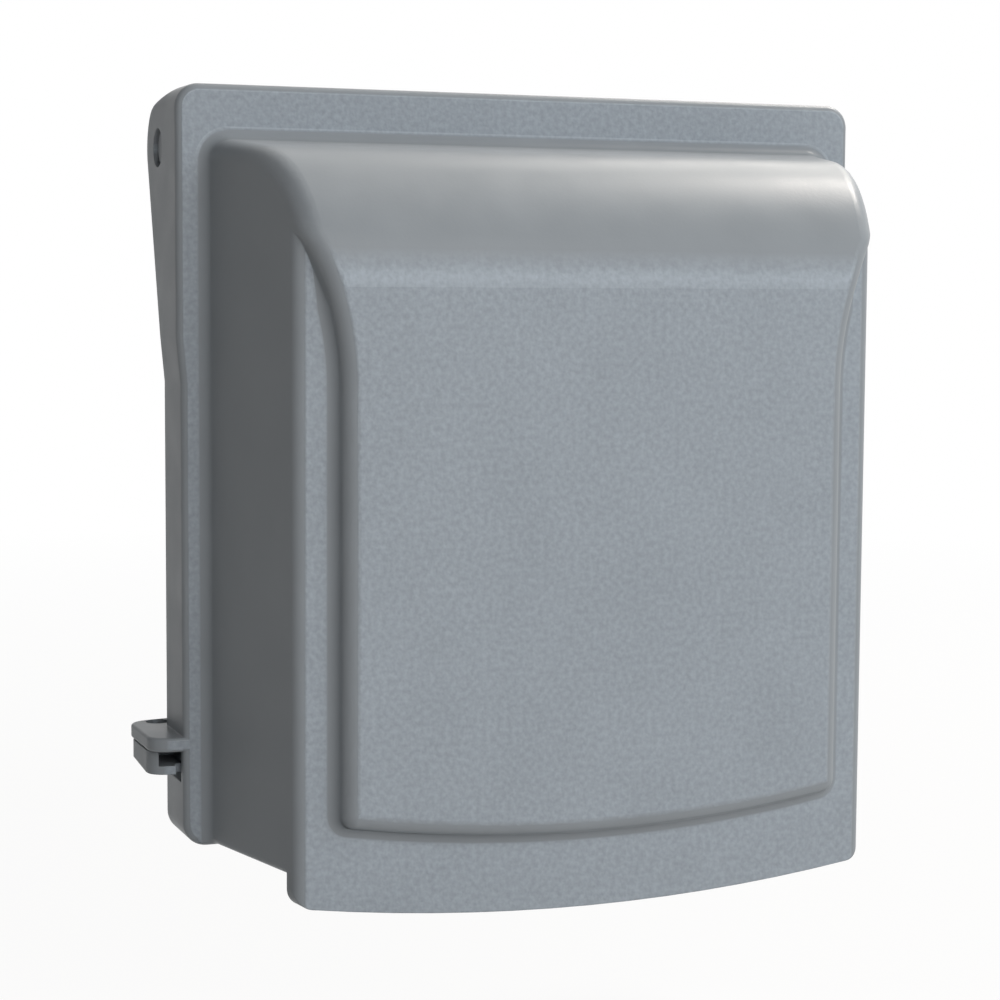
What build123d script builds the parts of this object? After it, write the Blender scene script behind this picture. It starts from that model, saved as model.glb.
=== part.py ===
from build123d import *
import os
from math import cos, radians, sin, sqrt, tan

os.makedirs("parts", exist_ok=True)

# Two-gang weatherproof cover that shuts over plugs in use. All sizes are in millimetres.
# The wall is the plane y = 0 and the cover stands out of it towards -Y, with +X to the right and +Z up.
# The origin is the middle of the wall face, midway between the two gangs.
# A "stand" is a distance from the wall, so a stand of 30 is the plane y = -30.

# Lid flange, skirt and hinge ears
flange_w = 155.0
flange_h = 160.0
flange_stand = 30.0
flange_t = 2.7
flange_corner_r = 5.0
flange_edge_r = 1.5
skirt_t = 2.5
skirt_depth = 15.5
top_skirt_depth = 8.0
ear_pad_t = 0.9
ear_pad_drop = 52.5
ear_pad_ramp = 9.5
ear_r = 10.0
ear_run_back = 6.0
hinge_drop = 12.6
hinge_setback = 16.6
hinge_hole_r = 4.1

# Hood
hood_land = 5.2
hood_taper = 8.67
hood_depth = 36.8
strip_corner_r = 3.0
hood_root_r = 2.9
panel_step = 5.4
shoulder_drop = 41.6
shoulder_r = 28.4
roof_slope = 7.0
roof_edge_r = 4.5
strip_shoulder_r = 18.0
strip_roof_drop = 2.0
hood_floor_rise = 0.8
floor_edge_r = 1.4
wall_t = 2.5

# Raised centre panel
strip_w = 7.8
panel_draft_inset = 1.2
panel_floor_rise = 9.8
panel_sag = 4.8
panel_corner_r = 3.0
panel_edge_r = 3.4
flare_drop = 20.4
flare_r = 67.0
flare_angle = 33.0

# Front lip below the hood
lip_drop = 6.0
lip_sag = 4.9
lip_t = 4.1
lip_corner_r = 3.6

# Cord slots in the hood's floor
cord_slot_w = 18.0
cord_slot_setback = 11.8

# Padlock tabs on the left side
tab_reach = 7.0
tab_t = 3.0
tab_top_rise = 23.6
tab_rear_stand = 5.5
tab_corner_r = 4.5
tab_edge_r = 0.6
tab_rear_skew = 2.0
tab_gap = 0.4
lock_hole_r = 2.6
lock_hole_reach = 0.9
lock_hole_rear_land = 4.1
base_tab_t = 4.9
base_tab_rear_t = 3.3
base_tab_floor_t = 1.8
base_tab_wall_t = 2.0
base_tab_inset = 0.4
tab_window_margin = 1.7

# Base frame
gasket_t = 2.5
gasket_inset = 1.0
base_side_gap = 1.0
base_top_gap = 3.5
base_low_gap = 1.2
base_t = 6.0
base_corner_r = 4.0
rim_t = 2.2
rim_seal_t = 2.5
rim_seal_drop = 1.0
drain_side_land = 19.0
drain_w = 8.0
drain_depth = 5.0
hinge_fit = 0.08
hinge_boss_r = 6.5
hinge_boss_depth = 6.0
stub_shoulder_r = 5.5
stub_shoulder_gap = 0.3
stub_recess = 0.8
stub_chamfer = 0.8

# Gangs, device openings and adaptor plates
window_w = 37.0
window_h = 73.0
gang_rib = 2.04
box_screw_land = 5.17
box_screw_hole_r = 2.2
insert_side_land = 3.3
insert_end_land = 3.6
insert_t = 2.5
insert_gasket_t = 1.0
insert_corner_r = 3.0
insert_gap = 0.2
device_side_land = 1.75
device_end_land = 2.95
rectangular_corner_r = 1.0
duplex_side_land = 1.2
duplex_h = 28.6
duplex_screw_r = 2.0
insert_screw_step = 6.73
insert_screw_r = 1.45
insert_screw_fit = 0.05
insert_screw_len = 5.0
screw_head_r = 2.8
screw_head_t = 1.8
screw_slot_w = 0.8
screw_slot_depth = 0.9

# Sizes that follow from those above
half_w = flange_w / 2
half_h = flange_h / 2
flange_back = flange_stand - flange_t
skirt_stand = flange_stand - skirt_depth
skirt_inner_w = flange_w - 2 * skirt_t
strip_stand = flange_stand + hood_depth
hood_root_half_w = half_w - hood_land
hood_front_half_w = hood_root_half_w - hood_taper
panel_half_w = hood_front_half_w - strip_w
shoulder_z = half_h - shoulder_drop
flare_z = shoulder_z - flare_drop
ear_pad_low_z = half_h - ear_pad_drop
hinge_y = -(flange_stand - hinge_setback)
hinge_z = half_h - hinge_drop
ear_outer = half_w + ear_pad_t
hood_floor_z = -half_h + hood_floor_rise
panel_low_z = hood_floor_z + panel_floor_rise
panel_stand = strip_stand + panel_step
shoulder_stand = panel_stand - shoulder_r
side_slope = hood_taper / hood_depth
cord_slot_stand = strip_stand - cord_slot_setback
lip_corner_z = hood_floor_z - lip_drop
lip_curve_r = (hood_front_half_w**2 + lip_sag**2) / (2 * lip_sag)
tab_top_z = -half_h + tab_top_rise
tab_low_z = tab_top_z - tab_t
tab_outer = half_w + tab_reach
base_half_w = skirt_inner_w / 2 - base_side_gap
base_top_z = half_h - skirt_t - base_top_gap
base_low_z = -half_h + skirt_t + base_low_gap
base_h = base_top_z - base_low_z
base_mid_z = (base_top_z + base_low_z) / 2
drain_pitch = 2 * (base_half_w - drain_side_land)
insert_w = window_w + 2 * insert_side_land
gang_pitch = insert_w + 2 * insert_gap + gang_rib
box_screw_pitch = window_h + 2 * box_screw_land
insert_screw_pitch = box_screw_pitch + 2 * insert_screw_step
insert_h = insert_screw_pitch + 2 * insert_end_land
rectangular_w = window_w - 2 * device_side_land
rectangular_h = window_h - 2 * device_end_land
duplex_r = window_w / 2 - duplex_side_land
duplex_pitch = rectangular_h - duplex_h
base_front = gasket_t + base_t
rim_front = flange_back - rim_seal_t
pocket_floor = base_front - insert_t - insert_gasket_t
lock_hole_x = -(half_w + lock_hole_reach)
lock_hole_stand = tab_rear_stand + lock_hole_rear_land
tab_inner_x = -(skirt_inner_w / 2 - base_side_gap / 2)
base_tab_top_z = tab_low_z - tab_gap
base_tab_low_z = base_tab_top_z - base_tab_t
base_tab_stand = flange_back - base_tab_inset


def hood_half_width(stand, inset):
    """Half the hood's width at one stand, moved in square to its side wall."""
    return hood_root_half_w - side_slope * (stand - flange_stand) - inset * sqrt(1 + side_slope**2)


def arc_point(centre, radius, angle):
    """Point of a shoulder arc in the side view, by its angle up from straight ahead."""
    return (centre[0] - radius * cos(radians(angle)), centre[1] + radius * sin(radians(angle)))


def hood_block(front_stand, front_r, roof_drop, inset):
    """Solid between the side walls, behind a front plane, its shoulder arc and a roof, all moved in by the inset."""
    stand = front_stand - inset
    radius = front_r - inset
    slope = radians(roof_slope)
    floor_z = hood_floor_z + inset
    root_half = hood_half_width(flange_back, inset)
    front_half = hood_half_width(stand, inset)
    centre_stand = front_stand - front_r
    centre_lift = shoulder_r - roof_drop - front_r - (centre_stand - shoulder_stand) * sin(slope)
    centre = (-centre_stand, shoulder_z + centre_lift / cos(slope))
    with BuildPart() as block:
        with BuildSketch(Plane.YZ):
            with BuildLine():
                front = Line((-stand, floor_z), arc_point(centre, radius, 0))
                shoulder = ThreePointArc(
                    front @ 1,
                    arc_point(centre, radius, (90 - roof_slope) / 2),
                    arc_point(centre, radius, 90 - roof_slope),
                )
                roof_y, roof_z = arc_point(centre, radius, 90 - roof_slope)
                rise = (-flange_back - roof_y) * tan(slope)
                roof = Line(shoulder @ 1, (-flange_back, roof_z + rise))
                Polyline(roof @ 1, (-flange_back, floor_z), front @ 0)
            make_face()
        extrude(amount=half_w, both=True)
        with BuildSketch(Plane.XY.offset(floor_z)):
            Polygon(
                (root_half, -flange_back),
                (-root_half, -flange_back),
                (-front_half, -stand),
                (front_half, -stand),
                align=None,
            )
        extrude(amount=flange_h, mode=Mode.INTERSECT)
    return block.part


def panel_outline(inset):
    """Front view of the raised panel: curved lower edge, and sides that sweep out to the hood's edges."""
    half = panel_half_w - inset
    low = panel_low_z + inset
    sweep = flare_r + inset
    middle = radians(flare_angle / 2)
    finish = radians(flare_angle)
    out = half + sweep * (1 - cos(finish))
    top = flare_z + sweep * sin(finish)
    beyond = half_w + panel_step
    with BuildSketch(Plane.XZ) as outline:
        with BuildLine():
            ThreePointArc((-half, low), (0, low - panel_sag), (half, low))
            for side in (1, -1):
                upright = Line((side * half, low), (side * half, flare_z))
                flare = ThreePointArc(
                    upright @ 1,
                    (side * (half + sweep * (1 - cos(middle))), flare_z + sweep * sin(middle)),
                    (side * out, top),
                )
                Polyline(
                    flare @ 1,
                    (side * beyond, top + (beyond - out) / tan(finish)),
                    (side * beyond, flange_h),
                    (0, flange_h),
                )
        make_face()
        lower = outline.vertices().filter_by(lambda v: abs(v.Y - low) < 0.01)
        fillet(lower, radius=panel_corner_r)
    return outline.sketch


def panel_inset(stand):
    """How far the drafted panel outline has moved in at one stand."""
    return panel_draft_inset * (stand - strip_stand) / panel_step


def floor_side_edges(shape, inset):
    """Lower edges of a block's two side walls."""
    return shape.edges().filter_by(
        lambda e: abs(e.center().Z - hood_floor_z - inset) < 0.01
        and abs(e.center().X) > hood_front_half_w / 2
        and e.bounding_box().size.Y > hood_depth / 2
    )


def rounded_block(inset, edge_r):
    """Full-width block up to the raised panel's front, with its long side edges rounded."""
    block = hood_block(panel_stand, shoulder_r, 0, inset)
    with BuildPart() as rounded:
        add(block)
        sides = rounded.edges().filter_by(
            lambda e: abs(e.center().X) > hood_front_half_w / 2
            and e.center().Z > hood_floor_z + wall_t + 1
            and e.center().Y < -flange_back - 1
        )
        fillet(sides, radius=edge_r)
    return rounded.part


def raised_panel(inset, edge_r):
    """Roof, shoulder and raised panel as one solid."""
    block = rounded_block(inset, edge_r)
    with BuildPart() as panel:
        add(block)
        with BuildSketch(Plane.XZ.offset(flange_back)):
            add(panel_outline(panel_inset(flange_back) + inset))
        with BuildSketch(Plane.XZ.offset(panel_stand)):
            add(panel_outline(panel_inset(panel_stand) + inset))
        loft(ruled=True, mode=Mode.INTERSECT)
    return panel.part


with BuildPart() as strip_block:
    add(hood_block(strip_stand, strip_shoulder_r, strip_roof_drop, 0))
    fillet(floor_side_edges(strip_block, 0), radius=floor_edge_r)
with BuildPart() as panel_block:
    add(raised_panel(0, roof_edge_r))
    panel_sides = panel_block.faces().sort_by(Axis.Y)[0].edges().filter_by(Axis.Z)
    fillet(panel_sides, radius=panel_edge_r)
strip_hollow = hood_block(strip_stand, strip_shoulder_r, strip_roof_drop, wall_t)
panel_hollow = raised_panel(wall_t, roof_edge_r - wall_t)

# Rounded foot of the hood's side walls and roof, where they meet the flange
foot_block = rounded_block(0, roof_edge_r)
with BuildPart() as hood_foot:
    with BuildSketch(Plane.XZ.offset(flange_stand)):
        Rectangle(2 * flange_w, 2 * flange_h)
    extrude(amount=-flange_t)
    add(foot_block)
    fillet(floor_side_edges(hood_foot, 0), radius=floor_edge_r)
    foot_edges = hood_foot.edges().filter_by(
        lambda e: e.bounding_box().size.Y < 0.01
        and abs(e.center().Y + flange_stand) < 0.01
        and abs(e.center().X) < flange_w - 1
        and hood_floor_z + 1 < e.center().Z < flange_h - 1
    )
    fillet(foot_edges, radius=hood_root_r)
    with BuildSketch(Plane.XZ.offset(flange_stand)):
        with Locations((0, hood_floor_z)):
            Rectangle(flange_w, flange_h, align=(Align.CENTER, Align.MIN))
    extrude(amount=2 * hood_root_r, mode=Mode.INTERSECT)

# Outline of the lid seen from the front, with the ears' pads a little wider at the top
with BuildSketch(Plane.XZ.offset(flange_stand)) as lid_outline:
    Polygon(
        (half_w, -half_h),
        (half_w, ear_pad_low_z - ear_pad_ramp),
        (ear_outer, ear_pad_low_z),
        (ear_outer, half_h),
        (-ear_outer, half_h),
        (-ear_outer, ear_pad_low_z),
        (-half_w, ear_pad_low_z - ear_pad_ramp),
        (-half_w, -half_h),
        align=None,
    )
    corners = lid_outline.vertices().filter_by(lambda v: abs(abs(v.Y) - half_h) < 0.01)
    fillet(corners, radius=flange_corner_r)
with BuildPart() as ears:
    for side in (1, -1):
        with BuildSketch(Plane.YZ.offset(side * skirt_inner_w / 2)):
            with BuildLine():
                CenterArc((hinge_y, hinge_z), ear_r, 0, 360)
                Line((-flange_back, ear_pad_low_z), (-skirt_stand, ear_pad_low_z))
                Line((-flange_back, half_h), (-flange_back + ear_run_back, half_h))
            make_hull()
        extrude(amount=side * (ear_outer - skirt_inner_w / 2))
    with BuildSketch(Plane.XZ.offset(flange_stand)):
        add(lid_outline.sketch)
    extrude(amount=-flange_stand, mode=Mode.INTERSECT)

with BuildPart() as lip:
    front_half = hood_half_width(strip_stand, 0)
    back_half = hood_half_width(strip_stand - lip_t, 0)
    with BuildSketch(Plane.XY.offset(shoulder_z)):
        Polygon(
            (front_half, -strip_stand),
            (back_half, -strip_stand + lip_t),
            (-back_half, -strip_stand + lip_t),
            (-front_half, -strip_stand),
            align=None,
        )
    extrude(amount=-flange_h)
    with BuildSketch(Plane.XZ.offset(flange_back)):
        with Locations((0, lip_corner_z - lip_sag + lip_curve_r)):
            Circle(lip_curve_r)
    extrude(amount=panel_stand, mode=Mode.INTERSECT)

# What the rounding of the lip's two lower corners takes away, following the slant of the side walls
with BuildPart() as lip_corners:
    for side in (1, -1):
        for stand in (strip_stand - 2 * lip_t, strip_stand + lip_t):
            corner_x = hood_half_width(stand, 0) - lip_corner_r
            corner_rise = sqrt((lip_curve_r - lip_corner_r) ** 2 - corner_x**2)
            corner_z = lip_corner_z - lip_sag + lip_curve_r - corner_rise
            with BuildSketch(Plane.XZ.offset(stand)):
                Polygon(
                    (side * corner_x, corner_z),
                    (side * (corner_x + 3 * lip_corner_r), corner_z),
                    (side * (corner_x + 3 * lip_corner_r), corner_z - 3 * lip_corner_r),
                    (side * corner_x * (1 + 3 * lip_corner_r / corner_rise), corner_z - 3 * lip_corner_r),
                    align=None,
                )
                with Locations((side * corner_x, corner_z)):
                    Circle(lip_corner_r, mode=Mode.SUBTRACT)
        loft(ruled=True)

# Upper padlock tab, flush with the flange and running on behind the skirt
with BuildPart() as upper_tab:
    with BuildSketch(Plane.XY.offset(tab_low_z)) as upper_tab_plan:
        Polygon(
            (-half_w + skirt_t / 2, -skirt_stand),
            (tab_inner_x, -skirt_stand),
            (tab_inner_x, -tab_rear_stand),
            (-tab_outer, -tab_rear_stand - tab_rear_skew),
            (-tab_outer, -flange_stand),
            (-half_w + skirt_t / 2, -flange_stand),
            align=None,
        )
        fillet(upper_tab_plan.vertices().group_by(Axis.X)[0], radius=tab_corner_r)
    extrude(amount=tab_t)
    tab_rims = upper_tab.edges().filter_by(
        lambda e: e.bounding_box().size.Z < 0.01 and e.center().X < -half_w
    )
    fillet(tab_rims, radius=tab_edge_r)

# One moulding: flange, skirt, ears, hood, lip and upper padlock tab
with BuildPart() as lid:
    with BuildSketch(Plane.XZ.offset(flange_stand)):
        add(lid_outline.sketch)
    extrude(amount=-skirt_depth)
    fillet(lid.faces().sort_by(Axis.Y)[0].edges(), radius=flange_edge_r)
    with BuildSketch(Plane.XZ.offset(flange_back)):
        RectangleRounded(skirt_inner_w, flange_h - 2 * skirt_t, flange_corner_r - skirt_t)
    extrude(amount=-skirt_depth, mode=Mode.SUBTRACT)
    with BuildSketch(Plane.XZ.offset(flange_stand - top_skirt_depth)):
        with Locations((0, half_h)):
            Rectangle(2 * ear_outer, 2 * ear_r)
    extrude(amount=-skirt_depth, mode=Mode.SUBTRACT)
    add(ears.part)
    add(strip_block.part)
    add(lip.part)
    front_edges = lid.edges().filter_by(Axis.Z).filter_by(
        lambda e: abs(abs(e.center().X) - hood_front_half_w) < 0.1 and e.center().Y < -strip_stand + 0.1
    )
    fillet(front_edges, radius=strip_corner_r)
    add(panel_block.part)
    add(hood_foot.part)
    add(strip_hollow, mode=Mode.SUBTRACT)
    add(panel_hollow, mode=Mode.SUBTRACT)
    add(lip_corners.part, mode=Mode.SUBTRACT)
    add(upper_tab.part)
    # Way out through the skirt for the base frame's own padlock tab
    with BuildSketch(Plane.YZ.offset(-skirt_inner_w / 2 + skirt_t / 2)):
        with BuildLine():
            Polyline(
                (-flange_back, tab_low_z),
                (-flange_back, base_tab_low_z - tab_window_margin),
                (-skirt_stand + skirt_t, base_tab_low_z - tab_window_margin),
                (-skirt_stand + skirt_t, tab_low_z),
                close=True,
            )
        make_face()
    extrude(amount=-3 * skirt_t, mode=Mode.SUBTRACT)
    with BuildSketch(Plane.XY.offset(tab_top_z)):
        with Locations((lock_hole_x, -lock_hole_stand)):
            Circle(lock_hole_r)
    extrude(amount=-tab_t, mode=Mode.SUBTRACT)
    # Hinge holes
    with BuildSketch(Plane.YZ):
        with Locations((hinge_y, hinge_z)):
            Circle(hinge_hole_r)
    extrude(amount=ear_outer, both=True, mode=Mode.SUBTRACT)
    # Cord slots in the floor, open at the back so that the lid closes over the cords
    with BuildSketch(Plane.XY.offset(-half_h)):
        for side in (1, -1):
            with Locations((side * gang_pitch / 2, -(cord_slot_stand - cord_slot_w / 2))):
                Circle(cord_slot_w / 2)
            with Locations((side * gang_pitch / 2, -skirt_stand / 2 - (cord_slot_stand - cord_slot_w / 2) / 2)):
                Rectangle(cord_slot_w, cord_slot_stand - cord_slot_w / 2 - skirt_stand)
    extrude(amount=hood_floor_rise + wall_t, mode=Mode.SUBTRACT)
lid.part.label = "lid"
export_step(lid.part, "parts/lid.step")

# Base frame without its padlock tab: plate against the wall gasket, rim inside the lid's skirt, hinge stubs
with BuildPart() as base_tray:
    with BuildSketch(Plane.XZ.offset(gasket_t)):
        with Locations((0, base_mid_z)):
            RectangleRounded(2 * base_half_w, base_h, base_corner_r)
    extrude(amount=rim_front - gasket_t)
    with BuildSketch(Plane.XZ.offset(base_front)):
        with Locations((0, base_mid_z)):
            RectangleRounded(2 * (base_half_w - rim_t), base_h - 2 * rim_t, base_corner_r - rim_t)
    extrude(amount=rim_front - base_front, mode=Mode.SUBTRACT)
    # Hinge bosses inside the rim, then the stubs that the lid's ears turn on
    for side in (1, -1):
        with BuildSketch(Plane.YZ.offset(side * (base_half_w - hinge_boss_depth))):
            with Locations((hinge_y, hinge_z)):
                Circle(hinge_boss_r)
        extrude(amount=side * hinge_boss_depth)
        with BuildSketch(Plane.YZ.offset(side * base_half_w)):
            with Locations((hinge_y, hinge_z)):
                Circle(stub_shoulder_r)
        extrude(amount=side * (base_side_gap - stub_shoulder_gap))
        with BuildSketch(Plane.YZ.offset(side * base_half_w)):
            with Locations((hinge_y, hinge_z)):
                Circle(hinge_hole_r - hinge_fit)
        extrude(amount=side * (ear_outer - stub_recess - base_half_w))
    stub_ends = base_tray.faces().filter_by(Axis.X).filter_by(
        lambda f: abs(abs(f.center().X) - (ear_outer - stub_recess)) < 0.01
    )
    chamfer(stub_ends.edges(), length=stub_chamfer)
    # Pockets for the adaptor plates, and the windows behind them
    with BuildSketch(Plane.XZ.offset(pocket_floor)):
        with Locations((-gang_pitch / 2, 0), (gang_pitch / 2, 0)):
            RectangleRounded(insert_w + 2 * insert_gap, insert_h + 2 * insert_gap, insert_corner_r)
    extrude(amount=base_front - pocket_floor, mode=Mode.SUBTRACT)
    with BuildSketch(Plane.XZ.offset(gasket_t)):
        with Locations((-gang_pitch / 2, 0), (gang_pitch / 2, 0)):
            Rectangle(window_w, window_h)
            with Locations((0, box_screw_pitch / 2), (0, -box_screw_pitch / 2)):
                Circle(box_screw_hole_r)
    extrude(amount=pocket_floor - gasket_t, mode=Mode.SUBTRACT)
    with BuildSketch(Plane.XZ.offset(pocket_floor)):
        with Locations((-gang_pitch / 2, 0), (gang_pitch / 2, 0)):
            with Locations((0, insert_screw_pitch / 2), (0, -insert_screw_pitch / 2)):
                Circle(insert_screw_r + insert_screw_fit)
    extrude(amount=-(insert_screw_len - insert_t - insert_gasket_t) - insert_gap, mode=Mode.SUBTRACT)
    # Drain notches in the lower rim
    with BuildSketch(Plane.XZ.offset(rim_front)):
        with Locations((-drain_pitch / 2, base_low_z), (drain_pitch / 2, base_low_z)):
            Rectangle(drain_w, 3 * rim_t)
    extrude(amount=-drain_depth, mode=Mode.SUBTRACT)

# Lower padlock tab: floor and outer wall in front, solid round the lock hole behind
with BuildPart() as lower_tab:
    with BuildSketch(Plane.YZ.offset(-base_half_w + rim_t / 2)):
        Polygon(
            (-base_tab_stand, base_tab_top_z),
            (-tab_rear_stand - base_tab_inset, base_tab_top_z),
            (-tab_rear_stand - base_tab_inset, base_tab_top_z - base_tab_rear_t),
            (-rim_front, base_tab_low_z),
            (-base_tab_stand, base_tab_low_z),
            align=None,
        )
    extrude(amount=-flange_w)
    with BuildSketch(Plane.XY.offset(base_tab_low_z)) as tab_plan:
        Polygon(
            (-base_half_w + rim_t / 2, -rim_front),
            (-half_w - base_side_gap, -rim_front),
            (-half_w - base_side_gap, -base_tab_stand),
            (-tab_outer + base_tab_inset, -base_tab_stand),
            (-tab_outer + base_tab_inset, -tab_rear_stand - tab_rear_skew - base_tab_inset),
            (-base_half_w + rim_t / 2, -tab_rear_stand - base_tab_inset),
            align=None,
        )
        fillet(tab_plan.vertices().group_by(Axis.X)[0], radius=tab_corner_r - base_tab_inset)
    extrude(amount=base_tab_t, mode=Mode.INTERSECT)
    with BuildSketch(Plane.XY.offset(base_tab_low_z + base_tab_floor_t)):
        Polygon(
            (-half_w + skirt_t / 2, -skirt_stand),
            (-half_w + skirt_t / 2, -flange_stand),
            (-tab_outer + base_tab_inset + base_tab_wall_t, -flange_stand),
            (-tab_outer + base_tab_inset + base_tab_wall_t, -skirt_stand),
            align=None,
        )
    extrude(amount=base_tab_t, mode=Mode.SUBTRACT)
    with BuildSketch(Plane.XY.offset(base_tab_top_z)):
        with Locations((lock_hole_x, -lock_hole_stand)):
            Circle(lock_hole_r)
    extrude(amount=-base_tab_t, mode=Mode.SUBTRACT)

with BuildPart() as base_frame:
    add(base_tray.part)
    add(lower_tab.part)
base_frame.part.label = "base_frame"
export_step(base_frame.part, "parts/base_frame.step")

# Foam sheet between the base frame and the wall
with BuildPart() as wall_gasket:
    with BuildSketch(Plane.XZ):
        with Locations((0, base_mid_z)):
            RectangleRounded(2 * (base_half_w - gasket_inset), base_h - 2 * gasket_inset, base_corner_r - gasket_inset)
        with Locations((-gang_pitch / 2, 0), (gang_pitch / 2, 0)):
            Rectangle(window_w, window_h, mode=Mode.SUBTRACT)
            with Locations((0, box_screw_pitch / 2), (0, -box_screw_pitch / 2)):
                Circle(box_screw_hole_r, mode=Mode.SUBTRACT)
    extrude(amount=gasket_t)
wall_gasket.part.label = "wall_gasket"
export_step(wall_gasket.part, "parts/wall_gasket.step")

# Soft strips down both sides of the rim's front edge, from just under the hinge axis
with BuildPart() as rim_seal:
    with BuildSketch(Plane.XZ.offset(rim_front)):
        with Locations((0, base_mid_z)):
            RectangleRounded(2 * base_half_w, base_h, base_corner_r)
        with Locations((0, hinge_z - rim_seal_drop)):
            Rectangle(flange_w, flange_h, align=(Align.CENTER, Align.MAX), mode=Mode.INTERSECT)
        Rectangle(2 * (base_half_w - rim_t), 2 * flange_h, mode=Mode.SUBTRACT)
    extrude(amount=rim_seal_t)
rim_seal.part.label = "rim_seal"
export_step(rim_seal.part, "parts/rim_seal.step")

# Adaptor plates, each over its own thin gasket
for name, side in (("insert_gasket_left", -1), ("insert_gasket_right", 1)):
    with BuildPart() as insert_gasket:
        with BuildSketch(Plane.XZ.offset(pocket_floor)):
            with Locations((side * gang_pitch / 2, 0)):
                RectangleRounded(insert_w, insert_h, insert_corner_r - insert_gap)
                Rectangle(window_w, window_h, mode=Mode.SUBTRACT)
                with Locations((0, box_screw_pitch / 2), (0, -box_screw_pitch / 2)):
                    Circle(box_screw_hole_r, mode=Mode.SUBTRACT)
                with Locations((0, insert_screw_pitch / 2), (0, -insert_screw_pitch / 2)):
                    Circle(insert_screw_r + insert_screw_fit, mode=Mode.SUBTRACT)
        extrude(amount=insert_gasket_t)
    insert_gasket.part.label = name
    export_step(insert_gasket.part, f"parts/{name}.step")


def insert_plate(side):
    """Adaptor plate of one gang without its device openings."""
    with BuildPart() as plate:
        with BuildSketch(Plane.XZ.offset(pocket_floor + insert_gasket_t)):
            with Locations((side * gang_pitch / 2, 0)):
                RectangleRounded(insert_w, insert_h, insert_corner_r - insert_gap)
                with Locations((0, box_screw_pitch / 2), (0, -box_screw_pitch / 2)):
                    Circle(box_screw_hole_r, mode=Mode.SUBTRACT)
                with Locations((0, insert_screw_pitch / 2), (0, -insert_screw_pitch / 2)):
                    Circle(insert_screw_r + insert_screw_fit, mode=Mode.SUBTRACT)
        extrude(amount=insert_t)
    return plate.part


left_plate = insert_plate(-1)
with BuildPart() as insert_rectangular:
    add(left_plate)
    with BuildSketch(Plane.XZ.offset(pocket_floor)):
        with Locations((-gang_pitch / 2, 0)):
            RectangleRounded(rectangular_w, rectangular_h, rectangular_corner_r)
    extrude(amount=base_front, mode=Mode.SUBTRACT)
insert_rectangular.part.label = "insert_rectangular"
export_step(insert_rectangular.part, "parts/insert_rectangular.step")

right_plate = insert_plate(1)
with BuildPart() as insert_duplex:
    add(right_plate)
    with BuildSketch(Plane.XZ.offset(pocket_floor)):
        with Locations((gang_pitch / 2, duplex_pitch / 2), (gang_pitch / 2, -duplex_pitch / 2)):
            Circle(duplex_r)
        with Locations((gang_pitch / 2, 0)):
            Rectangle(window_w, duplex_pitch + duplex_h, mode=Mode.INTERSECT)
            Rectangle(window_w, duplex_pitch - duplex_h, mode=Mode.SUBTRACT)
            Circle(duplex_screw_r)
    extrude(amount=base_front, mode=Mode.SUBTRACT)
insert_duplex.part.label = "insert_duplex"
export_step(insert_duplex.part, "parts/insert_duplex.step")

# Slotted pan-head screws of both adaptor plates
with BuildPart() as insert_screws:
    for side in (-1, 1):
        for end in (-1, 1):
            seat_centre = (side * gang_pitch / 2, -base_front, end * insert_screw_pitch / 2)
            seat = Plane(origin=seat_centre, x_dir=(1, 0, 0), z_dir=(0, -1, 0))
            with BuildSketch(seat):
                Circle(insert_screw_r)
            extrude(amount=-insert_screw_len)
            with BuildSketch(seat):
                Circle(screw_head_r)
            extrude(amount=screw_head_t)
            with BuildSketch(seat.offset(screw_head_t)):
                Rectangle(2 * screw_head_r, screw_slot_w)
            extrude(amount=-screw_slot_depth, mode=Mode.SUBTRACT)
insert_screws.part.label = "insert_screws"
export_step(insert_screws.part, "parts/insert_screws.step")
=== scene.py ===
import logging
import math
from dataclasses import dataclass, field, replace
from enum import Enum
from typing import List, Sequence, Tuple, Union

import bmesh
import bpy
from mathutils import Matrix, Vector


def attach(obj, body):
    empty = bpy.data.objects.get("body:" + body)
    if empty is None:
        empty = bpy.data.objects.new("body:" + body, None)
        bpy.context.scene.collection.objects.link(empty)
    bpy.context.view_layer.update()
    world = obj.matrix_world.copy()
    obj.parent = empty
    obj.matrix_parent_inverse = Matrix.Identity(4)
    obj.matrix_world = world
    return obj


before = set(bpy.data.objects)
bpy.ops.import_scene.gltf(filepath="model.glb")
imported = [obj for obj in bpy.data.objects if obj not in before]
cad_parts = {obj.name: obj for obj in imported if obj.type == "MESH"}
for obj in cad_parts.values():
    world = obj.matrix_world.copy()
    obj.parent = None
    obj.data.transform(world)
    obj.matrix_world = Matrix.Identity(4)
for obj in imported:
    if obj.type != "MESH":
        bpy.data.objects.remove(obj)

log = logging.getLogger("cover")

Colour = Tuple[float, float, float]
Point = Tuple[float, float, float]

SEEING_RAYS = ("Is Camera Ray", "Is Glossy Ray", "Is Transmission Ray")
NOISE_LOW = 0.3
NOISE_HIGH = 0.7


class Body(Enum):
    """Body of the cover that a new piece rides on."""

    LID = "lid"


class Slot(Enum):
    """Finish slots that the cover's record names."""

    MOULDING = "grey_moulding"
    FOAM = "black_foam"
    STEEL = "screw_steel"


def linear(red: int, green: int, blue: int) -> Colour:
    """Turn a screen colour, 0 to 255, into the linear one that shaders take.

    Args:
        red: Red part of the screen colour.
        green: Green part of the screen colour.
        blue: Blue part of the screen colour.

    Returns:
        The three linear parts, 0 to 1.
    """
    parts = (red / 255, green / 255, blue / 255)
    return tuple(p / 12.92 if p <= 0.04045 else ((p + 0.055) / 1.055) ** 2.4 for p in parts)


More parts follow.
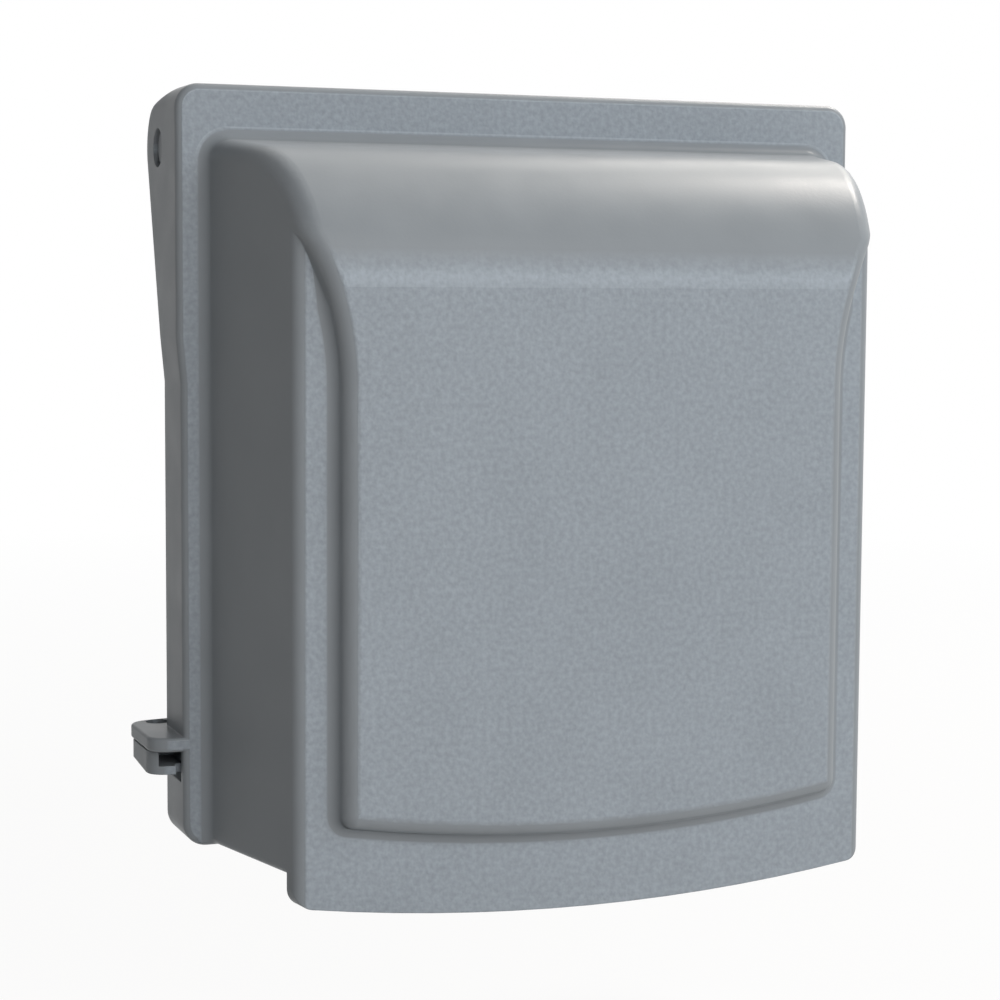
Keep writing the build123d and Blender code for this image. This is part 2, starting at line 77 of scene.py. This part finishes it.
class Graph:
    """Short way to lay out a material's or the world's nodes."""

    def __init__(self, tree: bpy.types.NodeTree) -> None:
        """Start from an empty tree.

        Args:
            tree: Node tree to fill.
        """
        self.tree = tree
        tree.nodes.clear()

    def add(self, kind: str, **settings: object) -> bpy.types.Node:
        """Add a node and set its options.

        Args:
            kind: Blender's name of the node type.
            settings: Options of the node by their attribute names.

        Returns:
            The new node.
        """
        node = self.tree.nodes.new(kind)
        for name, value in settings.items():
            setattr(node, name, value)
        return node

    def join(self, start: bpy.types.NodeSocket, end: bpy.types.NodeSocket) -> None:
        """Link an output to an input."""
        self.tree.links.new(start, end)

    def noise(
        self, place: bpy.types.NodeSocket, scale: float, detail: float = 2.0, rough: float = 0.5
    ) -> bpy.types.NodeSocket:
        """Add a noise pattern.

        Args:
            place: Coordinates that the pattern follows.
            scale: Cells per metre.
            detail: Number of finer layers.
            rough: How strongly the finer layers show.

        Returns:
            The pattern's value, 0 to 1 with its middle near 0.5.
        """
        node = self.add("ShaderNodeTexNoise")
        node.inputs["Scale"].default_value = scale
        node.inputs["Detail"].default_value = detail
        node.inputs["Roughness"].default_value = rough
        self.join(place, node.inputs["Vector"])
        return node.outputs["Fac"]

    def span(
        self,
        value: bpy.types.NodeSocket,
        low: float,
        high: float,
        to_low: float,
        to_high: float,
    ) -> bpy.types.NodeSocket:
        """Map a value from one span to another, held at both ends.

        Args:
            value: Value to map.
            low: Start of the span it comes from.
            high: End of the span it comes from.
            to_low: Start of the span it goes to.
            to_high: End of the span it goes to.

        Returns:
            The mapped value.
        """
        node = self.add("ShaderNodeMapRange", clamp=True)
        for name, number in (("From Min", low), ("From Max", high), ("To Min", to_low), ("To Max", to_high)):
            node.inputs[name].default_value = number
        self.join(value, node.inputs["Value"])
        return node.outputs["Result"]

    def sum(self, kind: str, *parts: object) -> bpy.types.NodeSocket:
        """Do one sum on sockets or numbers.

        Args:
            kind: Blender's name of the sum, such as MULTIPLY.
            parts: Sockets or numbers that go in, in order.

        Returns:
            The result.
        """
        node = self.add("ShaderNodeMath", operation=kind)
        for entry, part in zip(node.inputs, parts):
            if isinstance(part, (int, float)):
                entry.default_value = part
            else:
                self.join(part, entry)
        return node.outputs["Value"]

    def spread(self, noise: bpy.types.NodeSocket, to_low: float, to_high: float) -> bpy.types.NodeSocket:
        """Map a noise pattern's usual span to another one."""
        return self.span(noise, NOISE_LOW, NOISE_HIGH, to_low, to_high)

    def mixed_colour(
        self, share: bpy.types.NodeSocket, first: Colour, second: Colour
    ) -> bpy.types.NodeSocket:
        """Blend two colours.

        Args:
            share: Share of the second colour, 0 to 1.
            first: Colour at 0.
            second: Colour at 1.

        Returns:
            The blended colour.
        """
        node = self.add("ShaderNodeMix", data_type="RGBA")
        node.inputs["A"].default_value = (*first, 1.0)
        node.inputs["B"].default_value = (*second, 1.0)
        self.join(share, node.inputs["Factor"])
        return node.outputs["Result"]


def toned(colour: Colour, factor: float) -> Colour:
    """Lighten or darken a colour by one factor."""
    return tuple(part * factor for part in colour)


@dataclass(frozen=True)
class MouldedPlastic:
    """Grey moulding: fine grain on faces that point forwards, smoother elsewhere; the smooth faces are a
    little darker, partly their own tone and partly painted shade, and a painted highlight lies where a front
    face starts to turn up.
    """

    name: str
    colour: Colour
    # Colour factor of the smooth faces: partly the smooth finish's own tone, partly painted shade on the
    # sides and top.
    satin_tone_and_shade: Colour = (0.82, 0.8, 0.775)
    grain_from: float = 0.962
    grain_full: float = 0.994
    side_from: float = 0.5
    side_full: float = 0.9
    # Band of the painted highlight: where it rises in and falls away, by the upward part of the surface's
    # direction.
    bend_rise: Tuple[float, float] = (0.0, 0.07)
    bend_fall: Tuple[float, float] = (0.08, 0.17)
    mottle: float = 0.03
    mottle_scale: float = 60.0
    speckle: float = 0.085
    speckle_scale: float = 900.0
    # Painted highlight: lightening added in the band where a grained front face starts to turn up.
    bend_highlight: float = 0.17
    grain_scale: float = 950.0
    grain_height: float = 0.00018
    satin_scale: float = 1500.0
    satin_height: float = 0.000012
    rough_satin: float = 0.34
    rough_grain: float = 0.5
    rough_side: float = 0.12
    rough_swing: float = 0.05
    level: float = 0.16
    edge_r: float = 0.00045

    def material(self) -> bpy.types.Material:
        """Build the finish.

        Returns:
            The node material.
        """
        made = bpy.data.materials.new(self.name)
        made.use_nodes = True
        graph = Graph(made.node_tree)
        place = graph.add("ShaderNodeTexCoord")
        where = place.outputs["Object"]
        shader = graph.add("ShaderNodeBsdfPrincipled")
        shader.inputs["Specular IOR Level"].default_value = self.level
        facing = graph.add("ShaderNodeSeparateXYZ")
        graph.join(place.outputs["Normal"], facing.inputs["Vector"])
        forwards = graph.sum("ABSOLUTE", facing.outputs["Y"])
        grained = graph.span(forwards, self.grain_from, self.grain_full, 0.0, 1.0)
        bend = self._bend(graph, facing.outputs["Z"])
        graph.join(self._tone(graph, where, grained, bend), shader.inputs["Base Color"])
        scuffs = graph.noise(where, self.mottle_scale * 2, 4.0, 0.6)
        scuff = graph.spread(scuffs, -self.rough_swing, self.rough_swing)
        sideways = graph.sum("ABSOLUTE", facing.outputs["X"])
        side = graph.span(sideways, self.side_from, self.side_full, 0.0, self.rough_side)
        rough = graph.sum("ADD", graph.span(grained, 0.0, 1.0, self.rough_satin, self.rough_grain), side)
        graph.join(graph.sum("ADD", rough, scuff), shader.inputs["Roughness"])
        graph.join(self._relief(graph, where, grained), shader.inputs["Normal"])
        out = graph.add("ShaderNodeOutputMaterial")
        graph.join(shader.outputs["BSDF"], out.inputs["Surface"])
        return made

    def _tone(
        self,
        graph: Graph,
        where: bpy.types.NodeSocket,
        grained: bpy.types.NodeSocket,
        bend: bpy.types.NodeSocket,
    ) -> bpy.types.NodeSocket:
        """Vary the colour: broad soft clouds everywhere and fine specks in the grain, with painted shade on
        the smooth faces and a painted highlight in the band where a front face turns up.

        Args:
            graph: Graph that the nodes go into.
            where: Coordinates that the patterns follow.
            grained: Where the mould's grain is.
            bend: Where a grained face starts to turn up, which gets a painted highlight.

        Returns:
            The colour.
        """
        coarse = graph.spread(graph.noise(where, self.mottle_scale, 3.0, 0.6), 0.0, 1.0)
        fine = graph.spread(graph.noise(where, self.speckle_scale, 1.0, 0.5), 0.0, 1.0)
        dark = toned(self.colour, 1 - self.mottle)
        light = toned(self.colour, 1 + self.mottle)
        clouds = graph.mixed_colour(coarse, dark, light)
        specks = graph.span(fine, 0.0, 1.0, 1 - self.speckle, 1 + self.speckle)
        # Painted highlight: the specks get lighter in the band where a front face turns up.
        specks_and_highlight = graph.sum("ADD", specks, graph.sum("MULTIPLY", bend, self.bend_highlight))
        # Smooth faces take the darker satin colour, partly painted shade; grained faces take the specks and
        # the painted highlight.
        shade = graph.add("ShaderNodeMix", data_type="RGBA")
        graph.join(grained, shade.inputs["Factor"])
        shade.inputs["A"].default_value = (*self.satin_tone_and_shade, 1.0)
        graph.join(specks_and_highlight, shade.inputs["B"])
        shaded = graph.add("ShaderNodeVectorMath", operation="MULTIPLY")
        graph.join(clouds, shaded.inputs[0])
        graph.join(shade.outputs["Result"], shaded.inputs[1])
        return shaded.outputs["Vector"]

    def _relief(
        self, graph: Graph, where: bpy.types.NodeSocket, grained: bpy.types.NodeSocket
    ) -> bpy.types.NodeSocket:
        """Raise the grain, over edges that are very slightly broken.

        Args:
            graph: Graph that the nodes go into.
            where: Coordinates that the patterns follow.
            grained: Where the mould's grain is.

        Returns:
            The direction that the surface faces.
        """
        grain = graph.sum("MULTIPLY", graph.noise(where, self.grain_scale, 1.5, 0.5), self.grain_height)
        satin = graph.sum("MULTIPLY", graph.noise(where, self.satin_scale, 1.0, 0.5), self.satin_height)
        height = graph.add("ShaderNodeMix", data_type="FLOAT")
        graph.join(grained, height.inputs["Factor"])
        graph.join(satin, height.inputs["A"])
        graph.join(grain, height.inputs["B"])
        bump = graph.add("ShaderNodeBump")
        bump.inputs["Strength"].default_value = 1.0
        bump.inputs["Distance"].default_value = 1.0
        graph.join(height.outputs["Result"], bump.inputs["Height"])
        if self.edge_r > 0:
            edges = graph.add("ShaderNodeBevel", samples=6)
            edges.inputs["Radius"].default_value = self.edge_r
            graph.join(edges.outputs["Normal"], bump.inputs["Normal"])
        return bump.outputs["Normal"]

    def _bend(self, graph: Graph, upward: bpy.types.NodeSocket) -> bpy.types.NodeSocket:
        """Find the band where a front face starts to turn up, as at the foot of the hood's shoulder; this
        band gets a painted highlight.

        Args:
            graph: Graph that the nodes go into.
            upward: Upward part of the surface's direction.

        Returns:
            1 in the middle of the band, 0 away from it.
        """
        rise = graph.span(upward, *self.bend_rise, 0.0, 1.0)
        fall = graph.span(upward, *self.bend_fall, 1.0, 0.0)
        return graph.sum("MULTIPLY", rise, fall)


GREY_MOULDING = MouldedPlastic("moulded_grey", linear(152, 160, 168))


@dataclass(frozen=True)
class CellFoam:
    """Black closed-cell foam with small skinned cells."""

    name: str
    colour: Colour
    cell_scale: float = 900.0
    cell_depth: float = 0.00018
    cell_span: Tuple[float, float] = (0.1, 0.7)
    tones: Tuple[float, float] = (0.6, 1.5)
    rough: float = 0.85
    rough_drop: float = 0.15
    level: float = 0.25

    def material(self) -> bpy.types.Material:
        """Build the finish.

        Returns:
            The node material.
        """
        made = bpy.data.materials.new(self.name)
        made.use_nodes = True
        graph = Graph(made.node_tree)
        where = graph.add("ShaderNodeTexCoord").outputs["Object"]
        shader = graph.add("ShaderNodeBsdfPrincipled")
        shader.inputs["Specular IOR Level"].default_value = self.level
        cells = graph.add("ShaderNodeTexVoronoi")
        cells.inputs["Scale"].default_value = self.cell_scale
        graph.join(where, cells.inputs["Vector"])
        depth = cells.outputs["Distance"]
        tone = graph.span(depth, *self.cell_span, 0.0, 1.0)
        dark, light = (toned(self.colour, factor) for factor in self.tones)
        graph.join(graph.mixed_colour(tone, dark, light), shader.inputs["Base Color"])
        rough = graph.span(depth, *self.cell_span, self.rough, self.rough - self.rough_drop)
        graph.join(rough, shader.inputs["Roughness"])
        bump = graph.add("ShaderNodeBump")
        bump.inputs["Distance"].default_value = self.cell_depth
        graph.join(depth, bump.inputs["Height"])
        graph.join(bump.outputs["Normal"], shader.inputs["Normal"])
        out = graph.add("ShaderNodeOutputMaterial")
        graph.join(shader.outputs["BSDF"], out.inputs["Surface"])
        return made


@dataclass(frozen=True)
class PlatedSteel:
    """Zinc-plated screw steel with fine turning marks and small scuffs."""

    name: str
    colour: Colour
    mark_scale: float = 2600.0
    mark_depth: float = 0.00001
    tones: Tuple[float, float] = (0.82, 1.08)
    rough_span: Tuple[float, float] = (0.24, 0.42)

    def material(self) -> bpy.types.Material:
        """Build the finish.

        Returns:
            The node material.
        """
        made = bpy.data.materials.new(self.name)
        made.use_nodes = True
        graph = Graph(made.node_tree)
        where = graph.add("ShaderNodeTexCoord").outputs["Object"]
        shader = graph.add("ShaderNodeBsdfPrincipled")
        shader.inputs["Metallic"].default_value = 1.0
        marks = graph.noise(where, self.mark_scale, 2.0, 0.5)
        scuffs = graph.noise(where, self.mark_scale / 8, 4.0, 0.65)
        dark, light = (toned(self.colour, factor) for factor in self.tones)
        graph.join(graph.mixed_colour(scuffs, dark, light), shader.inputs["Base Color"])
        graph.join(graph.spread(scuffs, *self.rough_span), shader.inputs["Roughness"])
        bump = graph.add("ShaderNodeBump")
        bump.inputs["Distance"].default_value = self.mark_depth
        graph.join(marks, bump.inputs["Height"])
        graph.join(bump.outputs["Normal"], shader.inputs["Normal"])
        out = graph.add("ShaderNodeOutputMaterial")
        graph.join(shader.outputs["BSDF"], out.inputs["Surface"])
        return made


@dataclass
class Dressed:
    """Pieces that keep their solid's shape and only take a finish."""

    slot: Slot
    nodes: Sequence[str]
    finish: bpy.types.Material

    def dress(self) -> None:
        """Give every node its finish and report it."""
        for name in self.nodes:
            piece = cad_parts[name]
            piece.data.materials.clear()
            piece.data.materials.append(self.finish)
            log.info("dressed %s, slot %s, with %s", name, self.slot.value, self.finish.name)


@dataclass
class StepHollow:
    """Hollow rounding where the raised panel rises out of the strips beside it and below it.

    Its path follows the panel's outline on the strips: along the curved lower edge, round the corner, up the
    side and out along the flare, where it tapers away as the strip does.
    """

    hollow_r: float = 0.00285
    arc_steps: int = 14
    draft: float = 12.53
    depth_inside: float = 0.0004
    strip_stand: float = 0.0668
    half_w: float = 0.05583
    low_z: float = -0.0694
    sag: float = 0.0048
    corner_r: float = 0.003
    flare_z: float = 0.018
    flare_r: float = 0.067
    taper_start: float = 14.0
    taper_end: float = 20.8
    taper_steps: int = 12
    last_share: float = 0.08
    edge_steps: int = 24
    corner_steps: int = 12
    flare_steps: int = 10
    merge_dist: float = 1e-6
    smooth_below: float = 40.0

    def build(self, finish: bpy.types.Material) -> bpy.types.Object:
        """Make the piece, let it ride on the lid and report it.

        Args:
            finish: The moulding's finish.

        Returns:
            The new piece.
        """
        shape = bmesh.new()
        loop = self._profile(shape)
        loop = self._lower_edge(shape, loop)
        loop = self._side(shape, loop)
        self._flare(shape, loop)
        bmesh.ops.holes_fill(shape, edges=[e for e in shape.edges if e.is_boundary and self._off_middle(e)])
        half = list(shape.verts) + list(shape.edges) + list(shape.faces)
        bmesh.ops.mirror(shape, geom=half, axis="X", merge_dist=self.merge_dist)
        self._put_in_order(shape)
        bmesh.ops.recalc_face_normals(shape, faces=list(shape.faces))
        for face in shape.faces:
            face.smooth = True
        for edge in shape.edges:
            shared = len(edge.link_faces) == 2
            edge.smooth = shared and edge.calc_face_angle(0.0) < math.radians(self.smooth_below)
        mesh = bpy.data.meshes.new("panel_step_hollow")
        shape.to_mesh(mesh)
        shape.free()
        mesh.materials.append(finish)
        piece = bpy.data.objects.new("panel_step_hollow", mesh)
        bpy.context.scene.collection.objects.link(piece)
        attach(piece, Body.LID.value)
        log.info("built %s on %s", piece.name, Body.LID.value)
        return piece

    @staticmethod
    def _verts_of(loop: Sequence[bmesh.types.BMEdge]) -> List[bmesh.types.BMVert]:
        """List a loop's vertices once each, in the same order every run."""
        return list(dict.fromkeys(vert for edge in loop for vert in edge.verts))

    @staticmethod
    def _put_in_order(shape: bmesh.types.BMesh) -> None:
        """Sort edges and faces by their vertices, since a spin leaves them in another order each run.

        Args:
            shape: Mesh whose vertices already have the same order every run.
        """
        shape.verts.index_update()
        count = len(shape.verts)

        def place(item: Union[bmesh.types.BMEdge, bmesh.types.BMFace]) -> int:
            order = [vert.index for vert in item.verts]
            return min(order) * count + max(order)

        shape.edges.sort(key=place)
        shape.faces.sort(key=place)

    def _off_middle(self, edge: bmesh.types.BMEdge) -> bool:
        """Tell the far end's edges from those on the middle plane."""
        return all(vert.co.x > self.half_w for vert in edge.verts)

    def _profile(self, shape: bmesh.types.BMesh) -> List[bmesh.types.BMEdge]:
        """Draw the section at the middle of the lower edge.

        Args:
            shape: Mesh that the section goes into.

        Returns:
            The section's edges.
        """
        root_z = self.low_z - self.sag
        land = self.hollow_r * math.tan(math.radians(90 - self.draft) / 2)
        first = shape.verts.new((0.0, -self.strip_stand, root_z - land))
        centre = (0.0, -self.strip_stand - self.hollow_r, root_z - land)
        turned = bmesh.ops.spin(
            shape,
            geom=[first],
            cent=centre,
            axis=(1.0, 0.0, 0.0),
            angle=math.radians(90 - self.draft),
            steps=self.arc_steps,
        )
        last = next(item for item in turned["geom_last"] if isinstance(item, bmesh.types.BMVert))
        inside = shape.verts.new((0.0, -self.strip_stand + self.depth_inside, root_z + self.depth_inside))
        shape.edges.new((last, inside))
        shape.edges.new((inside, first))
        return list(shape.edges)

    def _turn(
        self,
        shape: bmesh.types.BMesh,
        loop: Sequence[bmesh.types.BMEdge],
        centre: Tuple[float, float],
        angle: float,
        steps: int,
    ) -> List[bmesh.types.BMEdge]:
        """Sweep the section round a centre on the strips' plane.

        Args:
            shape: Mesh that holds the section.
            loop: The section's edges.
            centre: X and Z of the centre.
            angle: Turn in radians, positive from below towards +X.
            steps: Number of steps.

        Returns:
            The edges of the section at the end of the sweep.
        """
        made = bmesh.ops.spin(
            shape,
            geom=[*self._verts_of(loop), *loop],
            cent=(centre[0], -self.strip_stand, centre[1]),
            axis=(0.0, -1.0, 0.0),
            angle=angle,
            steps=steps,
        )
        return [item for item in made["geom_last"] if isinstance(item, bmesh.types.BMEdge)]

    def _lower_edge(
        self, shape: bmesh.types.BMesh, loop: Sequence[bmesh.types.BMEdge]
    ) -> List[bmesh.types.BMEdge]:
        """Sweep the section along half the curved lower edge and round its corner.

        Args:
            shape: Mesh that holds the section.
            loop: The section's edges.

        Returns:
            The edges of the section above the corner.
        """
        edge_r = (self.half_w**2 + self.sag**2) / (2 * self.sag)
        edge_z = self.low_z - self.sag + edge_r
        corner_x = self.half_w - self.corner_r
        reach = math.asin(corner_x / (edge_r - self.corner_r))
        corner_z = edge_z - (edge_r - self.corner_r) * math.cos(reach)
        loop = self._turn(shape, loop, (0.0, edge_z), reach, self.edge_steps)
        return self._turn(shape, loop, (corner_x, corner_z), math.pi / 2 - reach, self.corner_steps)

    def _side(
        self, shape: bmesh.types.BMesh, loop: Sequence[bmesh.types.BMEdge]
    ) -> List[bmesh.types.BMEdge]:
        """Extend the section straight up to where the flare starts.

        Args:
            shape: Mesh that holds the section.
            loop: The section's edges.

        Returns:
            The edges of the section at the flare's foot.
        """
        height = max(vert.co.z for edge in loop for vert in edge.verts)
        made = bmesh.ops.extrude_edge_only(shape, edges=list(loop))
        verts = [item for item in made["geom"] if isinstance(item, bmesh.types.BMVert)]
        bmesh.ops.translate(shape, verts=verts, vec=(0.0, 0.0, self.flare_z - height))
        edges = [item for item in made["geom"] if isinstance(item, bmesh.types.BMEdge)]
        return [edge for edge in edges if set(edge.verts) <= set(verts)]

    def _flare(self, shape: bmesh.types.BMesh, loop: Sequence[bmesh.types.BMEdge]) -> None:
        """Sweep the section out along the flare, smaller and smaller at the end.

        Args:
            shape: Mesh that holds the section.
            loop: The section's edges.
        """
        centre = (self.half_w + self.flare_r, self.flare_z)
        loop = self._turn(shape, loop, centre, -math.radians(self.taper_start), self.flare_steps)
        step = (self.taper_end - self.taper_start) / self.taper_steps
        share = 1.0
        for index in range(1, self.taper_steps + 1):
            loop = self._turn(shape, loop, centre, -math.radians(step), 1)
            wanted = 1 - (1 - self.last_share) * index / self.taper_steps
            angle = math.radians(self.taper_start + step * index)
            root = (
                centre[0] - self.flare_r * math.cos(angle),
                -self.strip_stand,
                centre[1] + self.flare_r * math.sin(angle),
            )
            factor = wanted / share
            space = Matrix.Translation(root).inverted()
            bmesh.ops.scale(shape, verts=self._verts_of(loop), vec=(factor,) * 3, space=space)
            share = wanted


@dataclass
class Lamp:
    """One soft box, aimed at the cover."""

    name: str
    place: Point
    width: float
    height: float
    watts: float
    colour: Colour
    aim: Point = (0.0, -0.04, 0.0)

    def build(self) -> bpy.types.Object:
        """Make the lamp.

        Returns:
            The lamp object.
        """
        light = bpy.data.lights.new(self.name, "AREA")
        light.shape = "RECTANGLE"
        light.size = self.width
        light.size_y = self.height
        light.energy = self.watts
        light.color = self.colour
        lamp = bpy.data.objects.new(self.name, light)
        lamp.location = self.place
        look = Vector(self.aim) - Vector(self.place)
        lamp.rotation_euler = look.to_track_quat("-Z", "Y").to_euler()
        bpy.context.scene.collection.objects.link(lamp)
        return lamp


@dataclass
class Studio:
    """Pale floor, white surroundings, soft lamps and the camera."""

    floor_z: float = -0.13
    floor_half: float = 4.0
    floor_tone: Colour = (0.6, 0.6, 0.6)
    floor_glow: float = 0.92
    fade_start: float = 0.3
    fade_end: float = 1.1
    ambient: Colour = (0.02, 0.02, 0.02)
    camera_place: Point = (-0.19505, -0.51531, 0.03955)
    camera_yaw: float = 21.229
    camera_pitch: float = 5.229
    camera_roll: float = 0.351
    lens: float = 85.844
    sensor: float = 36.0
    lamps: Sequence[Lamp] = field(
        default_factory=lambda: (
            Lamp("lamp_front", (0.1, -1.25, 0.5), 1.0, 0.9, 10.2, (1.0, 0.985, 0.97)),
            Lamp("lamp_front_right", (0.9, -1.0, 0.55), 0.8, 0.8, 4.0, (0.85, 0.94, 1.0)),
            Lamp("lamp_top_right", (0.85, 0.15, 1.1), 0.6, 0.4, 19.0, (1.0, 0.93, 0.86)),
            Lamp("lamp_back", (0.45, 0.35, 0.55), 0.4, 0.4, 1.7, (1.0, 0.95, 0.88)),
        )
    )

    def build(self) -> None:
        """Make the whole studio and report it."""
        self._world()
        self._floor()
        for lamp in self.lamps:
            lamp.build()
            log.info("lit %s", lamp.name)
        self._camera()
        bpy.context.scene.view_settings.view_transform = "Standard"

    def _seen(self, graph: Graph) -> bpy.types.NodeSocket:
        """Tell which rays see the white surroundings.

        Args:
            graph: Graph that the nodes go into.

        Returns:
            1 for rays that show a surface to the eye, 0 for rays that only carry light.
        """
        path = graph.add("ShaderNodeLightPath")
        camera, glossy, passing = (path.outputs[ray] for ray in SEEING_RAYS)
        return graph.sum("MAXIMUM", graph.sum("MAXIMUM", camera, glossy), passing)

    def _world(self) -> None:
        """Make the surroundings: white to the eye, a plain dim level as light."""
        world = bpy.data.worlds.new("surroundings")
        world.use_nodes = True
        graph = Graph(world.node_tree)
        white = graph.add("ShaderNodeBackground")
        white.inputs["Color"].default_value = (1.0, 1.0, 1.0, 1.0)
        dim = graph.add("ShaderNodeBackground")
        dim.inputs["Color"].default_value = (*self.ambient, 1.0)
        mix = graph.add("ShaderNodeMixShader")
        graph.join(self._seen(graph), mix.inputs["Fac"])
        graph.join(dim.outputs["Background"], mix.inputs[1])
        graph.join(white.outputs["Background"], mix.inputs[2])
        out = graph.add("ShaderNodeOutputWorld")
        graph.join(mix.outputs["Shader"], out.inputs["Surface"])
        bpy.context.scene.world = world

    def _floor(self) -> None:
        """Make the pale floor under the cover."""
        mesh = bpy.data.meshes.new("studio_floor")
        shape = bmesh.new()
        bmesh.ops.create_grid(shape, x_segments=1, y_segments=1, size=self.floor_half)
        bmesh.ops.translate(shape, verts=shape.verts, vec=(0.0, 0.0, self.floor_z))
        shape.to_mesh(mesh)
        shape.free()
        floor = bpy.data.objects.new("studio_floor", mesh)
        bpy.context.scene.collection.objects.link(floor)
        made = bpy.data.materials.new("pale_floor")
        made.use_nodes = True
        graph = Graph(made.node_tree)
        plain = graph.add("ShaderNodeBsdfDiffuse")
        plain.inputs["Color"].default_value = (*self.floor_tone, 1.0)
        white = graph.add("ShaderNodeEmission")
        white.inputs["Color"].default_value = (1.0, 1.0, 1.0, 1.0)
        away = graph.add("ShaderNodeVectorMath", operation="LENGTH")
        graph.join(graph.add("ShaderNodeTexCoord").outputs["Object"], away.inputs[0])
        glow = graph.span(away.outputs["Value"], self.fade_start, self.fade_end, self.floor_glow, 1.0)
        mix = graph.add("ShaderNodeMixShader")
        graph.join(graph.sum("MULTIPLY", self._seen(graph), glow), mix.inputs["Fac"])
        graph.join(plain.outputs["BSDF"], mix.inputs[1])
        graph.join(white.outputs["Emission"], mix.inputs[2])
        out = graph.add("ShaderNodeOutputMaterial")
        graph.join(mix.outputs["Shader"], out.inputs["Surface"])
        mesh.materials.append(made)

    def _camera(self) -> None:
        """Make the camera at the photograph's place and angle."""
        yaw, pitch, roll = (math.radians(a) for a in (self.camera_yaw, self.camera_pitch, self.camera_roll))
        ahead = Vector((math.sin(yaw) * math.cos(pitch), math.cos(yaw) * math.cos(pitch), -math.sin(pitch)))
        level = Vector((math.cos(yaw), -math.sin(yaw), 0.0))
        above = level.cross(ahead)
        right = level * math.cos(roll) + above * math.sin(roll)
        up = above * math.cos(roll) - level * math.sin(roll)
        data = bpy.data.cameras.new("camera")
        data.sensor_width = self.sensor
        data.lens = self.lens
        data.clip_start = 0.01
        camera = bpy.data.objects.new("camera", data)
        turned = Matrix((right, up, -ahead)).transposed().to_4x4()
        camera.matrix_world = Matrix.Translation(self.camera_place) @ turned
        bpy.context.scene.collection.objects.link(camera)
        bpy.context.scene.camera = camera


def main() -> None:
    """Build the studio and the cover's pieces in order."""
    logging.basicConfig(level=logging.INFO, format="%(message)s")
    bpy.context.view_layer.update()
    Studio().build()
    moulding = GREY_MOULDING.material()
    foam = CellFoam("cell_foam", linear(38, 38, 40)).material()
    steel = PlatedSteel("plated_steel", linear(205, 205, 202)).material()
    plastic_nodes = ("lid", "base_frame", "insert_rectangular", "insert_duplex")
    foam_nodes = ("wall_gasket", "rim_seal", "insert_gasket_left", "insert_gasket_right")
    Dressed(Slot.MOULDING, plastic_nodes, moulding).dress()
    Dressed(Slot.FOAM, foam_nodes, foam).dress()
    Dressed(Slot.STEEL, ("insert_screws",), steel).dress()
    StepHollow().build(replace(GREY_MOULDING, name="moulded_grey_hollow", edge_r=0.0).material())


if __name__ == "__main__":
    main()
